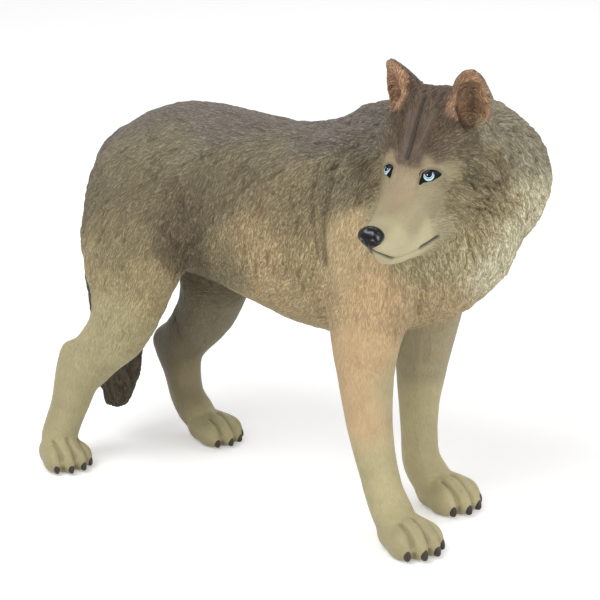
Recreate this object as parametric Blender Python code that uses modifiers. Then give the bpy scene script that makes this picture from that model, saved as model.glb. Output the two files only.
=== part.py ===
"""A moulded figure of a standing wolf, its head turned square to its right.

The figure is one casting, so it is one closed solid. It is modelled as a sculptor
would: lofts and ellipsoids of clay for each mass of the body, fused and smoothed,
then the muzzle's edges, the ears and the paws laid on, the soles cut flat on the
ground and the ears hollowed.

Millimetres until the last step, which turns them to metres. The wolf faces +X, its
left side is +Y and +Z is up.
"""

import math
from dataclasses import dataclass

import bmesh
import bpy
from mathutils import Matrix, Vector

MM = 0.001
FIGURE_NAME = "wolf_figure"

# Trunk: upright sections (x, top, bottom, half-width) from the buttocks to the chest
TRUNK = (
    (-82, 115, 92, 9),
    (-76, 124, 85, 17),
    (-66, 131.5, 78, 22.5),
    (-50, 137, 75, 26),
    (-34, 137.5, 73.5, 26.5),
    (-16, 136.5, 69.5, 28),
    (2, 136, 65, 30),
    (20, 141, 63.5, 31),
    (36, 141, 66, 31),
    (52, 139, 71, 28),
    (64, 133, 78, 22),
    (74, 124, 87, 13),
)

# Neck and mane: ellipsoids (centre, half-sizes)
SHOULDER_MASS = ((46, 0, 106), (36, 27, 34))
WITHERS_MASS = ((36, 5, 123), (26, 21, 24.5))
NECK_MASS = ((40, 8, 114), (36, 25, 33))
NAPE_MASS = ((47, 11, 127), (29, 20, 22))
MANE_MASS = ((57.5, 13, 124), (34, 21, 28))
MANE_SKIRT_MASS = ((51, 14, 108), (30, 19, 26))
CHEST_MASS = ((56, 4, 105), (28.5, 19, 24))

# Tail: stations (x, y, z, half-depth, half-width) from its root to its tip
TAIL = (
    (-68, 0, 119, 9, 9),
    (-78, 0, 113, 9, 9),
    (-84.5, 0, 100, 9, 8.8),
    (-87.5, 1, 82, 9.6, 9.5),
    (-85.5, 2, 60, 10.5, 10.5),
    (-83, 1, 40, 9.8, 9.8),
    (-83, -0.5, 25, 7.8, 7.8),
    (-84, -1, 15.5, 4.8, 4.8),
)

# Legs: where each paw stands on the ground and its heading off the wolf's own in degrees
HIND_RIGHT_PAW = (-85.0, -33.0, -20.0)
HIND_LEFT_PAW = (-54.0, 19.5, -3.0)
FORE_RIGHT_PAW = (62.5, -28.0, -16.0)
FORE_LEFT_PAW = (53.5, 12.5, -4.0)
HIND_PAW_SIZE = 0.9
FORE_PAW_SIZE = 1.0
HIP = (-57.0, 15.0, 112.0)
RIGHT_KNEE = (-49.5, -24.0, 69.0)
LEFT_KNEE = (-43.0, 21.0, 68.0)
RIGHT_HOCK = (-82.8, -25.5, 43.0)
LEFT_HOCK = (-77.8, 24.0, 36.0)
SHOULDER = (44.0, 17.0, 108.0)
RIGHT_ELBOW = (41.5, -21.5, 70.0)
LEFT_ELBOW = (41.5, 19.5, 70.0)

# Head: the point midway between the eyes, and how the head is carried, in degrees
HEAD_POINT = Vector((61.1, -25.7, 133.2))
HEAD_TURN = 87.0
HEAD_NOD = 16.0

# Head, in its own frame from that point: upright sections (x, top, bottom, half-width)
CRANIUM = (
    (-27, 19, -10, 17.5),
    (-18, 20.5, -10, 18),
    (-10, 14.5, -10, 16.5),
    (-4, 9.2, -8, 13.6),
    (1, 5, -6, 10),
)
FACE = (
    (-27, 14, -26, 17),
    (-18, 14, -28, 17),
    (-10, 10, -28, 15.5),
    (-3, 5.5, -26.5, 12.8),
    (4, 0.5, -25, 10.4),
    (11, -3, -23.5, 8.8),
    (18, -5.2, -21.5, 7.5),
    (24, -6, -19.4, 6.4),
    (28.4, -6.2, -15.6, 5),
)
JAW = (
    (-14, -16, -36, 13),
    (-6, -18, -33, 10.5),
    (2, -20, -29.5, 8.2),
    (10, -19, -26.6, 6.2),
    (18, -16, -24.6, 5),
    (23.5, -14, -22, 4.2),
)

# Lip and ear of the left side, in the head's frame: (x, y, z, half-depth, half-width)
LIP = (
    (26, 2, -14.5, 3.4, 3.0),
    (19, 3.2, -17.2, 4.8, 3.9),
    (10, 4.8, -18.8, 6.6, 4.8),
    (2, 6.9, -18.2, 8.2, 6.4),
    (-6, 9.6, -16.4, 10.5, 8.2),
    (-14, 11.5, -13, 13, 9.6),
)
EAR = (
    (-26.0, 10.2, 6, 10.0, 8.2),
    (-25.2, 11.0, 12, 8.2, 8.0),
    (-23.8, 12.2, 18, 5.8, 7.2),
    (-22.3, 13.4, 24, 3.5, 5.4),
    (-21.0, 14.4, 28.2, 1.8, 3.0),
)
EAR_SPLAY = 30.0
CUP_DEPTH_SHARE = 0.75
CUP_WIDTH_SHARE = 0.68

# Clay: the voxel sizes of the two fusings, and the smoothing after each
BODY_VOXEL = 1.5
BODY_SMOOTHING = 14
FIGURE_VOXEL = 0.8
FIGURE_SMOOTHING = 3
FIGURE_TRIANGLES = 9500
SOLE_TOLERANCE = 0.4
RING_STEPS = 28

COAT_COLOUR = (0.29, 0.235, 0.15, 1.0)
COAT_ROUGHNESS = 0.6

AHEAD = Vector((1, 0, 0))
LEFTWARD = Vector((0, 1, 0))
UPWARD = Vector((0, 0, 1))
UNTURNED = Matrix.Identity(4)


@dataclass(frozen=True)
class Station:
    """One cross-section of a loft: where it is, and its half-sizes across the path."""

    centre: Vector
    half_depth: float
    half_width: float


@dataclass(frozen=True)
class Leg:
    """A leg below its knee or elbow.

    heel is where the leg meets the paw, from the paw's own point. Each bend is a
    station by its share of the way from joint to heel, how far it lies forwards and
    to the left of the straight line between them, and its half-sizes.
    """

    joint: tuple
    paw: tuple
    heel: tuple
    bends: tuple

    def stations(self):
        joint = Vector(self.joint)
        heel = Vector((self.paw[0], self.paw[1], 0)) + Vector(self.heel)
        run = []
        for share, forward, left, depth, width in self.bends:
            centre = joint.lerp(heel, share) + Vector((forward, left, 0))
            run.append(Station(centre, depth, width))
        return run


HIND_RIGHT_SHIN = Leg(
    RIGHT_HOCK,
    HIND_RIGHT_PAW,
    (-1.5, 0.5, 9.5),
    (
        (0, 0.4, 0, 7.2, 6.2),
        (0.24, 1.9, 0.7, 9.2, 6.8),
        (0.42, 2.0, 0.8, 8.4, 6.8),
        (0.6, 1.4, 0.8, 7.5, 6.7),
        (0.84, 0.1, 0.3, 6.9, 6.8),
        (1, 0, 0, 7.4, 7.2),
    ),
)
HIND_LEFT_SHIN = Leg(
    LEFT_HOCK,
    HIND_LEFT_PAW,
    (-6.5, 0.5, 9.0),
    (
        (0, 0, 0, 7.4, 6.2),
        (0.22, 1.2, 0.4, 8.8, 6.9),
        (0.42, 0.4, 0.6, 7.9, 6.9),
        (0.6, -1.4, 0.7, 7.1, 6.7),
        (0.83, -2.4, 0.3, 6.8, 6.7),
        (1, 0, 0, 7.4, 7.2),
    ),
)
FORE_RIGHT_SHIN = Leg(
    RIGHT_ELBOW,
    FORE_RIGHT_PAW,
    (-4.5, 0.7, 9.5),
    (
        (0, 0, 0, 12.8, 11),
        (0.24, -3.3, 0.9, 9.9, 9.6),
        (0.41, -4.9, 1.4, 8.8, 8.7),
        (0.58, -5.4, 1.4, 7.8, 7.8),
        (0.74, -4.7, 1.3, 7.0, 7.3),
        (0.88, -3.1, 0.6, 7.0, 7.5),
        (1, 0, 0, 7.4, 8.3),
    ),
)
FORE_LEFT_SHIN = Leg(
    LEFT_ELBOW,
    FORE_LEFT_PAW,
    (-5.0, 0.3, 9.0),
    (
        (0, 0, 0, 12.8, 11),
        (0.28, -3.3, 0.9, 10.2, 9.8),
        (0.43, -4.4, 0.9, 8.8, 8.8),
        (0.58, -5.4, 0.9, 7.4, 7.6),
        (0.76, -5.3, 0.6, 6.8, 7.2),
        (0.91, -4.5, 0.1, 7.0, 7.5),
        (1, 0, 0, 7.4, 8.3),
    ),
)


def clear_scene():
    for obj in list(bpy.data.objects):
        bpy.data.objects.remove(obj)


def stations_of(rows, side=1):
    """Stations from rows of (x, y, z, half-depth, half-width); side -1 mirrors them."""
    return [Station(Vector((x, y * side, z)), depth, width) for x, y, z, depth, width in rows]


def upright(rows):
    """Stations on the middle plane from rows of (x, top, bottom, half-width)."""
    return [Station(Vector((x, 0, (top + low) / 2)), (top - low) / 2, width) for x, top, low, width in rows]


def catmull_rom(a, b, c, d, t):
    return 0.5 * (2 * b + (c - a) * t + (2 * a - 5 * b + 4 * c - d) * t**2 + (3 * b - a - 3 * c + d) * t**3)


def refined(stations, between):
    """The same run of stations with smooth steps between each pair."""
    ends = [stations[0], *stations, stations[-1]]
    fine = []
    for a, b, c, d in zip(ends, ends[1:], ends[2:], ends[3:]):
        for step in range(between):
            t = step / between
            centre = catmull_rom(a.centre, b.centre, c.centre, d.centre, t)
            depth = catmull_rom(a.half_depth, b.half_depth, c.half_depth, d.half_depth, t)
            width = catmull_rom(a.half_width, b.half_width, c.half_width, d.half_width, t)
            fine.append(Station(centre, depth, width))
    return [*fine, stations[-1]]


def loft(clay, stations, side=LEFTWARD, place=UNTURNED, dome=0.7, facing=None, squareness=2.0,
         steps=RING_STEPS, between=4):
    """Skins a run of elliptical stations and rounds off both its ends.

    side is the direction of the sections' width. dome is how far an end bulges, as a
    share of its half-depth. facing, where given, is the one way that all the sections
    face. Without it each section lies square to the path. squareness 2 makes them
    ellipses, and more makes them boxier. steps counts the points of a section, and
    between the sections from one station to the next.
    """
    fine = refined(stations, between)
    last = len(fine) - 1
    profile = []
    for i, station in enumerate(fine):
        along = facing or (fine[min(i + 1, last)].centre - fine[max(i - 1, 0)].centre).normalized()
        across = (side - along * side.dot(along)).normalized()
        profile.append((station.centre, station.half_depth, station.half_width, along, across))
    start, end = profile[0], profile[-1]
    for angle in (math.radians(22), math.radians(45), math.radians(68)):
        profile.insert(0, capped(start, angle, -dome))
        profile.append(capped(end, angle, dome))
    power = 2 / squareness
    loops = []
    for centre, depth, width, along, across in profile:
        up = along.cross(across)
        loop = []
        for k in range(steps):
            angle = 2 * math.pi * k / steps
            sideways = math.copysign(abs(math.cos(angle)) ** power, math.cos(angle))
            upwards = math.copysign(abs(math.sin(angle)) ** power, math.sin(angle))
            loop.append(place @ (centre + across * width * sideways + up * depth * upwards))
        loops.append(loop)
    start_pole = place @ (start[0] - start[3] * start[1] * dome)
    end_pole = place @ (end[0] + end[3] * end[1] * dome)
    skin(clay, loops, start_pole, end_pole)


def capped(section, angle, dome):
    """A section of the dome on an end, angle round from the rim to the pole."""
    centre, depth, width, along, across = section
    reach = centre + along * depth * dome * math.sin(angle)
    return reach, depth * math.cos(angle), width * math.cos(angle), along, across


def skin(clay, loops, start_pole, end_pole):
    """Joins a run of rings of points into one closed skin with a pole at each end."""
    rings = [[clay.verts.new(point) for point in loop] for loop in loops]
    steps = len(rings[0])
    start, end = clay.verts.new(start_pole), clay.verts.new(end_pole)
    for k in range(steps):
        n = (k + 1) % steps
        clay.faces.new((rings[0][n], rings[0][k], start))
        clay.faces.new((rings[-1][k], rings[-1][n], end))
        for lower, upper in zip(rings, rings[1:]):
            clay.faces.new((lower[k], lower[n], upper[n], upper[k]))


def ellipsoid(clay, centre, radii, yaw=0.0, place=UNTURNED):
    """An ellipsoid of clay, turned by yaw degrees, in the frame that place gives."""
    turn = Matrix.Rotation(math.radians(yaw), 4, "Z")
    matrix = place @ Matrix.Translation(Vector(centre)) @ turn @ Matrix.Diagonal((*radii, 1.0))
    lump = bmesh.new()
    bmesh.ops.create_uvsphere(lump, u_segments=36, v_segments=20, radius=1.0, matrix=matrix)
    mesh = bpy.data.meshes.new("lump")
    lump.to_mesh(mesh)
    lump.free()
    clay.from_mesh(mesh)
    bpy.data.meshes.remove(mesh)


def pair(clay, centre, radii, place, yaw=0.0):
    """Two mirrored ellipsoids, one on each side of the head's middle plane."""
    for side in (-1, 1):
        ellipsoid(clay, (centre[0], centre[1] * side, centre[2]), radii, yaw * side, place)


def head_frame():
    """The head's own frame: +X along the muzzle, +Y to the wolf's left, +Z up."""
    turn = Matrix.Rotation(math.radians(-HEAD_TURN), 4, "Z")
    nod = Matrix.Rotation(math.radians(HEAD_NOD), 4, "Y")
    return Matrix.Translation(HEAD_POINT) @ turn @ nod


def model_trunk(clay):
    """Rump, waist, ribcage and chest, then the thick neck and the mane.

    The mane bulges forwards and to the left, as it does when the head turns right.
    """
    loft(clay, upright(TRUNK), facing=AHEAD, dome=0.25)
    masses = (SHOULDER_MASS, WITHERS_MASS, NECK_MASS, NAPE_MASS, MANE_MASS, MANE_SKIRT_MASS, CHEST_MASS)
    for centre, radii in masses:
        ellipsoid(clay, centre, radii)


def model_hind_leg(clay, side, knee, shin):
    """One hind leg: thigh, shank and shin."""
    knee = Vector(knee)
    hip = Vector((HIP[0], HIP[1] * side, HIP[2]))
    hock = Vector(shin.joint) + Vector((-3.2, 0, -2))
    thigh = [
        Station(hip, 22, 13),
        Station(hip.lerp(knee, 0.5) + Vector((-3, side * 4, -2)), 23, 12.5),
        Station(knee + Vector((-10, 0, 4)), 18, 10.9),
    ]
    loft(clay, thigh, dome=0.6)
    shank = [
        Station(knee + Vector((-8, 0, 2)), 16, 11),
        Station(knee.lerp(hock, 0.42) + Vector((1.8, 0, -2)), 12.3, 10),
        Station(knee.lerp(hock, 0.75) + Vector((4.2, 0, -3.8)), 10, 8.2),
        Station(hock + Vector((8, 0, -3.5)), 9.6, 7.2),
    ]
    loft(clay, shank, dome=0.5)
    loft(clay, shin.stations())


def model_foreleg(clay, side, shin):
    """One foreleg, from the shoulder blade to the paw."""
    shoulder = Vector((SHOULDER[0], SHOULDER[1] * side, SHOULDER[2]))
    elbow = Vector(shin.joint)
    upper = [
        Station(shoulder, 20, 13),
        Station(shoulder.lerp(elbow, 0.47) + Vector((0, side * 0.4, 0)), 18, 12.5),
    ]
    loft(clay, upper + shin.stations(), dome=0.6)


def model_skull(clay, place):
    """The big masses of the head: cranium, face, brows, cheekbones, ruff and throat."""
    loft(clay, upright(CRANIUM), place=place, dome=0.3, facing=AHEAD, squareness=2.5)
    loft(clay, upright(FACE), place=place, dome=0.3, facing=AHEAD, squareness=2.2)
    pair(clay, (-4.5, 7.2, 3.2), (6.3, 5.4, 4.0), place, yaw=-25)
    pair(clay, (-1, 6.6, -6), (7, 5.2, 5.6), place, yaw=-20)
    pair(clay, (-20, 13, -8), (14, 12, 17), place, yaw=-14)
    ellipsoid(clay, (-14, 0, -22), (17, 15, 15), place=place)


def model_features(clay, place):
    """Lips, jaw, nose and eyeballs."""
    for side in (-1, 1):
        loft(clay, stations_of(LIP, side), place=place, dome=0.4, facing=AHEAD)
    loft(clay, upright(JAW), place=place, dome=0.4, facing=AHEAD)
    ellipsoid(clay, (28.4, 0, -9.6), (3.2, 4.9, 4.2), place=place)
    pair(clay, (0.6, 7.5, 0.2), (3.9, 2.0, 2.3), place, yaw=-34)


def ear_directions(side):
    """The way that an ear opens, and the way across it."""
    splay = math.radians(EAR_SPLAY)
    opening = Vector((math.cos(splay), math.sin(splay) * side, 0))
    across = Vector((-math.sin(splay) * side, math.cos(splay), 0))
    return opening, across


def model_ears(clay, place):
    """Two upright ears, each facing forwards and outwards."""
    for side in (-1, 1):
        _, across = ear_directions(side)
        loft(clay, stations_of(EAR, side), side=across, place=place, dome=0.6, facing=UPWARD)


def model_paw(clay, paw, size):
    """A paw of four broad toes with blunt claws; size is its scale."""
    x, y, heading = paw
    turn = Matrix.Rotation(math.radians(heading), 4, "Z")
    place = Matrix.Translation(Vector((x, y, 0))) @ turn @ Matrix.Scale(size, 4)
    ellipsoid(clay, (-1.6, 0, 5.5), (9.2, 8.6, 7.4), place=place)
    ellipsoid(clay, (2.5, 0, 6.2), (8.5, 8.8, 6.8), place=place)
    for forward, out, splay in ((7.4, 2.75, 2.0), (7.4, -2.75, -2.0), (4.2, 6.9, 10.0), (4.2, -6.9, -10.0)):
        toe = place @ Matrix.Translation((forward, out, 0)) @ Matrix.Rotation(math.radians(splay), 4, "Z")
        ellipsoid(clay, (-0.4, 0, 4.6), (6.6, 3.5, 5.4), place=toe)
        ellipsoid(clay, (4.9, 0, 3.2), (2.0, 1.6, 3.0), place=toe)


def mesh_object(name, clay):
    mesh = bpy.data.meshes.new(name)
    bmesh.ops.recalc_face_normals(clay, faces=clay.faces)
    clay.to_mesh(mesh)
    clay.free()
    obj = bpy.data.objects.new(name, mesh)
    bpy.context.scene.collection.objects.link(obj)
    return obj


def applied(obj):
    """A new mesh of the object with its modifiers worked in."""
    bpy.context.view_layer.update()
    graph = bpy.context.evaluated_depsgraph_get()
    return bpy.data.meshes.new_from_object(obj.evaluated_get(graph))


def fused(obj, voxel, smoothing):
    """The object's overlapping clay as one skin, with its creases smoothed out."""
    remesh = obj.modifiers.new("fuse", "REMESH")
    remesh.mode = "VOXEL"
    remesh.voxel_size = voxel
    smooth = obj.modifiers.new("smooth", "SMOOTH")
    smooth.factor = 0.5
    smooth.iterations = smoothing
    mesh = applied(obj)
    bpy.data.objects.remove(obj)
    return mesh


def cut_soles(mesh):
    """Cuts the paws flat on the ground, at height zero."""
    clay = bmesh.new()
    clay.from_mesh(mesh)
    everything = clay.verts[:] + clay.edges[:] + clay.faces[:]
    bmesh.ops.bisect_plane(clay, geom=everything, plane_co=(0, 0, 0), plane_no=(0, 0, -1), clear_outer=True)
    rims = [edge for edge in clay.edges if edge.is_boundary]
    bmesh.ops.holes_fill(clay, edges=rims, sides=0)
    bmesh.ops.triangulate(clay, faces=clay.faces)
    clay.to_mesh(mesh)
    clay.free()


def thinned(mesh, triangles):
    """The mesh with only as many triangles as its curves need, its soles flat again."""
    obj = bpy.data.objects.new("thinned_clay", mesh)
    bpy.context.scene.collection.objects.link(obj)
    decimate = obj.modifiers.new("thin", "DECIMATE")
    decimate.ratio = triangles / len(mesh.polygons)
    thin = applied(obj)
    bpy.data.objects.remove(obj)
    for vertex in thin.vertices:
        if vertex.co.z < SOLE_TOLERANCE:
            vertex.co.z = 0
    return thin


def ear_cups(place):
    """The cutters that hollow the ears from the front, one per ear."""
    cups = []
    for side in (-1, 1):
        opening, across = ear_directions(side)
        rows = []
        for ear in stations_of(EAR[1:4], side):
            centre = ear.centre + opening * ear.half_depth
            rows.append(Station(centre, ear.half_depth * CUP_DEPTH_SHARE, ear.half_width * CUP_WIDTH_SHARE))
        clay = bmesh.new()
        loft(clay, rows, side=across, place=place, dome=0.4, facing=UPWARD, steps=12, between=2)
        cups.append(mesh_object("ear_cup_left" if side == 1 else "ear_cup_right", clay))
    return cups


def hollow(obj, cutter):
    """Takes the cutter out of the object."""
    cut = obj.modifiers.new("cup", "BOOLEAN")
    cut.operation = "DIFFERENCE"
    cut.solver = "EXACT"
    cut.object = cutter
    mesh = applied(obj)
    obj.modifiers.clear()
    obj.data = mesh


def settle(wolf, cutters):
    """Turns the millimetres to metres and centres the figure over the origin."""
    xs = [vertex.co.x for vertex in wolf.data.vertices]
    ys = [vertex.co.y for vertex in wolf.data.vertices]
    middle = Vector(((min(xs) + max(xs)) / 2, (min(ys) + max(ys)) / 2, 0))
    for obj in (wolf, *cutters):
        obj.data.transform(Matrix.Scale(MM, 4) @ Matrix.Translation(-middle))


def paint(wolf):
    """The olive tan that most of the figure is painted in, and smooth shading."""
    material = bpy.data.materials.new("painted_vinyl")
    material.use_nodes = True
    shader = material.node_tree.nodes["Principled BSDF"]
    shader.inputs["Base Color"].default_value = COAT_COLOUR
    shader.inputs["Roughness"].default_value = COAT_ROUGHNESS
    shader.inputs["Metallic"].default_value = 0.0
    wolf.data.materials.clear()
    wolf.data.materials.append(material)
    wolf.data.shade_smooth()


def collect(objects, name):
    """Moves the objects to a collection of their own."""
    group = bpy.data.collections.new(name)
    bpy.context.scene.collection.children.link(group)
    for obj in objects:
        for holder in list(obj.users_collection):
            holder.objects.unlink(obj)
        group.objects.link(obj)


def build():
    clear_scene()
    place = head_frame()
    body = bmesh.new()
    model_trunk(body)
    model_hind_leg(body, -1, RIGHT_KNEE, HIND_RIGHT_SHIN)
    model_hind_leg(body, 1, LEFT_KNEE, HIND_LEFT_SHIN)
    model_foreleg(body, -1, FORE_RIGHT_SHIN)
    model_foreleg(body, 1, FORE_LEFT_SHIN)
    loft(body, stations_of(TAIL))
    model_skull(body, place)
    body_mesh = fused(mesh_object("body_clay", body), BODY_VOXEL, BODY_SMOOTHING)

    figure = bmesh.new()
    model_features(figure, place)
    model_ears(figure, place)
    model_paw(figure, HIND_RIGHT_PAW, HIND_PAW_SIZE)
    model_paw(figure, HIND_LEFT_PAW, HIND_PAW_SIZE)
    model_paw(figure, FORE_RIGHT_PAW, FORE_PAW_SIZE)
    model_paw(figure, FORE_LEFT_PAW, FORE_PAW_SIZE)
    figure.from_mesh(body_mesh)
    mesh = fused(mesh_object("figure_clay", figure), FIGURE_VOXEL, FIGURE_SMOOTHING)
    cut_soles(mesh)

    wolf = bpy.data.objects.new(FIGURE_NAME, thinned(mesh, FIGURE_TRIANGLES))
    bpy.context.scene.collection.objects.link(wolf)
    cutters = ear_cups(place)
    for cutter in cutters:
        hollow(wolf, cutter)
        cutter.hide_render = True
        cutter.display_type = "WIRE"
    settle(wolf, cutters)
    paint(wolf)
    collect([wolf], "animal_toy_figure")
    collect(cutters, "cutters")


build()
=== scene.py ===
"""Standing wolf toy figure: a moulded fur coat, sprayed paint, eyes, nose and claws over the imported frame."""
import logging
import math
from dataclasses import dataclass, field
from enum import Enum
from typing import Iterable, Sequence

import bmesh
import bpy
import numpy as np
from mathutils import Matrix, Vector
from mathutils.bvhtree import BVHTree


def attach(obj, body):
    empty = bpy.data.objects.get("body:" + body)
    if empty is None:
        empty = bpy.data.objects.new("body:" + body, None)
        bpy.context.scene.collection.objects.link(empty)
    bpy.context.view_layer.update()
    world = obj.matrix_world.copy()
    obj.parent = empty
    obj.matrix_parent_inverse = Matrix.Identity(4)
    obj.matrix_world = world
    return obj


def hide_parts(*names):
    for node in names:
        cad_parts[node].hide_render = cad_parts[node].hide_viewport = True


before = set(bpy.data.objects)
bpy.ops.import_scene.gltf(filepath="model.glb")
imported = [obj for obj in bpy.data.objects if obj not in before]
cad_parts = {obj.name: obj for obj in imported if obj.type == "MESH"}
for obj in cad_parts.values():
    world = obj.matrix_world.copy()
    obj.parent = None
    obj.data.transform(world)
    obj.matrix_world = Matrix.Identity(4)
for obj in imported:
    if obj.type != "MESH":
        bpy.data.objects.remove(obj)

log = logging.getLogger("wolf_figure")
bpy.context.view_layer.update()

MM = 0.001
BODY_NODE = "wolf_figure"
BODY_MIDDLE = np.array([2.92, 9.70, 0.0])
HEAD_POINT = np.array([61.1, -25.7, 133.2])
HEAD_AXES = np.array(
    Matrix.Rotation(math.radians(-87.0), 3, "Z") @ Matrix.Rotation(math.radians(16.0), 3, "Y")).T
DICE = np.random.default_rng(11).uniform(-1.0, 1.0, 65536)
NOISE_TURN = np.array(Matrix.Rotation(0.7, 3, Vector((0.4, 0.7, 0.6)).normalized()))

Triple = tuple[float, float, float]
Object = bpy.types.Object
Mesh = bpy.types.Mesh
Material = bpy.types.Material
NodeTree = bpy.types.NodeTree
Socket = bpy.types.NodeSocket


class Place(Enum):
    """What a list of millimetres is measured from."""

    BODY = "body"
    HEAD = "head"


class Tone(Enum):
    """Sprayed colours of the casting, as linear red, green and blue; where the darker ones are laid in folds,
    between the toes, at the groin, beside the turned head and partly on the left hind leg, they are painted
    shade.
    """

    SLATE = (0.188, 0.165, 0.138)
    OLIVE_GREY = (0.228, 0.198, 0.128)
    OLIVE = (0.275, 0.230, 0.133)
    MOSS = (0.195, 0.165, 0.100)
    STRAW = (0.420, 0.345, 0.188)
    DUSK = (0.155, 0.124, 0.075)
    SAND = (0.480, 0.365, 0.205)
    TAN = (0.520, 0.400, 0.225)
    OCHRE = (0.540, 0.380, 0.210)
    CREAM = (0.430, 0.375, 0.207)
    PAW = (0.375, 0.330, 0.182)
    MUZZLE = (0.345, 0.298, 0.180)
    PALE_CREAM = (0.500, 0.445, 0.265)
    DUN = (0.300, 0.235, 0.140)
    CHEEK = (0.300, 0.255, 0.150)
    MANE = (0.310, 0.280, 0.195)
    MANE_PALE = (0.720, 0.680, 0.480)
    UMBER = (0.084, 0.055, 0.033)
    MAUVE = (0.115, 0.078, 0.054)
    RUST = (0.440, 0.262, 0.155)
    EAR_BROWN = (0.150, 0.100, 0.060)
    TAIL = (0.090, 0.074, 0.048)
    INK = (0.012, 0.010, 0.009)


def to_row(points: np.ndarray, place: Place) -> np.ndarray:
    """Turn body or head millimetres into the row frame's millimetres.

    Args:
        points: One point or an array of points.
        place: What they are measured from.

    Returns:
        The same points in the row frame, in millimetres.
    """
    points = np.asarray(points, float)
    if place is Place.HEAD:
        points = HEAD_POINT + points @ HEAD_AXES
    return points + BODY_MIDDLE


def turned(direction: Sequence[float], place: Place) -> np.ndarray:
    """Turn a direction into the row frame, at length one."""
    way = np.asarray(direction, float)
    if place is Place.HEAD:
        way = way @ HEAD_AXES
    return way / np.linalg.norm(way)


def lattice_noise(points: np.ndarray, seed: int) -> np.ndarray:
    """Smooth noise on a unit lattice.

    Args:
        points: Places, in lattice units.
        seed: Picks an independent pattern.

    Returns:
        One value from about -1 to 1 for each point.
    """
    points = points @ NOISE_TURN
    cell = np.floor(points).astype(np.int64)
    part = points - cell
    ease = part * part * (3.0 - 2.0 * part)
    total = np.zeros(len(points))
    for corner in range(8):
        step = np.array([(corner >> axis) & 1 for axis in range(3)])
        at = cell + step
        key = (at[:, 0] * 73856093) ^ (at[:, 1] * 19349663) ^ (at[:, 2] * 83492791)
        weight = np.prod(np.where(step == 1, ease, 1.0 - ease), axis=1)
        total += weight * DICE[(key + seed * 7919) & 0xFFFF]
    return total


@dataclass(frozen=True)
class Fur:
    """One layer of the coat's combed relief.

    Args:
        width: Width of a stroke, in millimetres.
        length: Length of a stroke, in millimetres.
        rise: Height for each millimetre of the guides' depth; below zero it cuts in.
        level: The pattern's value that stays level with the skin.
        groove_shade: Strength of the painted shade in its grooves.
        seed: Picks an independent pattern.
    """

    width: float
    length: float
    rise: float
    level: float
    groove_shade: float
    seed: int

    def height(self, pattern: np.ndarray) -> np.ndarray:
        """Height for each millimetre of the guides' depth."""
        return self.rise * (pattern - self.level)


SHORT = Fur(0.8, 2.2, 0.6, 0.75, 0.2, 1)
GAP = Fur(1.1, 5.0, -1.2, 0.0, 0.55, 4)
LOCK = Fur(1.5, 5.5, 1.7, 0.7, 0.42, 2)
# Depths in millimetres at which the painted shade in the grooves of strokes and locks is at its full strength.
FULL_STROKE = 0.3
FULL_LOCK = 0.5


def combed_noise(points: np.ndarray, comb: np.ndarray, fur: Fur) -> np.ndarray:
    """Noise drawn out along the lie of the fur.

    Args:
        points: Places, in millimetres.
        comb: The fur's direction at each place.
        fur: The layer whose strokes it draws.

    Returns:
        Values with a spread of one about zero.
    """
    total = np.zeros(len(points))
    for share in np.linspace(-0.5, 0.5, 7):
        total += lattice_noise((points + comb * (fur.length * share)) / fur.width, fur.seed)
    return total / total.std()


def tufted(value: np.ndarray, sharpness: float) -> np.ndarray:
    """Rounded locks with narrow valleys where the value changes sign, from 0 to 1."""
    return 1.0 - np.exp(-((value / sharpness) ** 2))


def fade(value: np.ndarray, start: float | np.ndarray, run: float) -> np.ndarray:
    """How far a value is past a start, from 0 to 1 over a run, which is negative to fade downwards."""
    return np.clip((value - start) / run, 0.0, 1.0)


def tinted(paint: np.ndarray, share: np.ndarray, tone: Tone) -> np.ndarray:
    """Colours blended towards a tone by each point's share."""
    return paint + share[:, None] * (np.array(tone.value) - paint)


@dataclass(frozen=True)
class Guide:
    """How the coat lies and is painted about one place, blended with its neighbours.

    Args:
        at: The place, in the row frame's millimetres.
        comb: Which way the fur lies there, in the row frame.
        tone: The sprayed colour.
        reach: How far it counts, in millimetres.
        stroke: Depth of the short strokes, in millimetres.
        lock: Depth of the longer locks, in millimetres.
    """

    at: np.ndarray
    comb: np.ndarray
    tone: Tone
    reach: float
    stroke: float
    lock: float


# How fast a guide's weight falls off: near it, and far from every guide, where only a small share is left.
NEAR_FALL = 1.6
FAR_FALL = 0.6
FAR_SHARE = 1e-4

GuideRow = tuple[Triple, Triple, Tone, float, float, float]


def guides(place: Place, paired: bool, rows: Iterable[GuideRow]) -> list[Guide]:
    """Guides from rows in body or head millimetres.

    Args:
        place: What the rows are measured from.
        paired: Also true on the other side of the median plane.
        rows: Place, comb, tone, reach, stroke and lock of each.

    Returns:
        The guides, each followed by its mirrored one when they are paired.
    """
    found = []
    for at, comb, *rest in rows:
        for side in (1.0, -1.0) if paired else (1.0,):
            flip = np.array([1.0, side, 1.0])
            found.append(Guide(to_row(at * flip, place), turned(comb * flip, place), *rest))
    return found


@dataclass(frozen=True)
class Crease:
    """A carved groove, or a raised ridge, along a path on the skin.

    Args:
        path: Points along it, in millimetres.
        width: Half width of the carving, in millimetres.
        depth: How deep it goes; below zero it stands proud.
        tone: Colour laid along it, if any: on the head mostly the figure's paint, such as the lips; along the
            body's folds, the cheek ruff's fold and between the toes a darker colour that is painted shade.
        paint_and_shade_width: Half width of that colour, in millimetres.
        strength: How strong that colour is, from 0 to 1.
        place: What the points are measured from.
        paired: Also true on the other side of the median plane.
    """

    path: tuple[Triple, ...]
    width: float
    depth: float
    tone: Tone | None = None
    paint_and_shade_width: float = 0.5
    strength: float = 0.8
    place: Place = Place.HEAD
    paired: bool = True

    def paths(self) -> list[np.ndarray]:
        """The path in the row frame, and its mirrored one when it is paired."""
        found = [to_row(np.array(self.path), self.place)]
        if self.paired:
            found.append(to_row(np.array(self.path) * (1.0, -1.0, 1.0), self.place))
        return found


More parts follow.
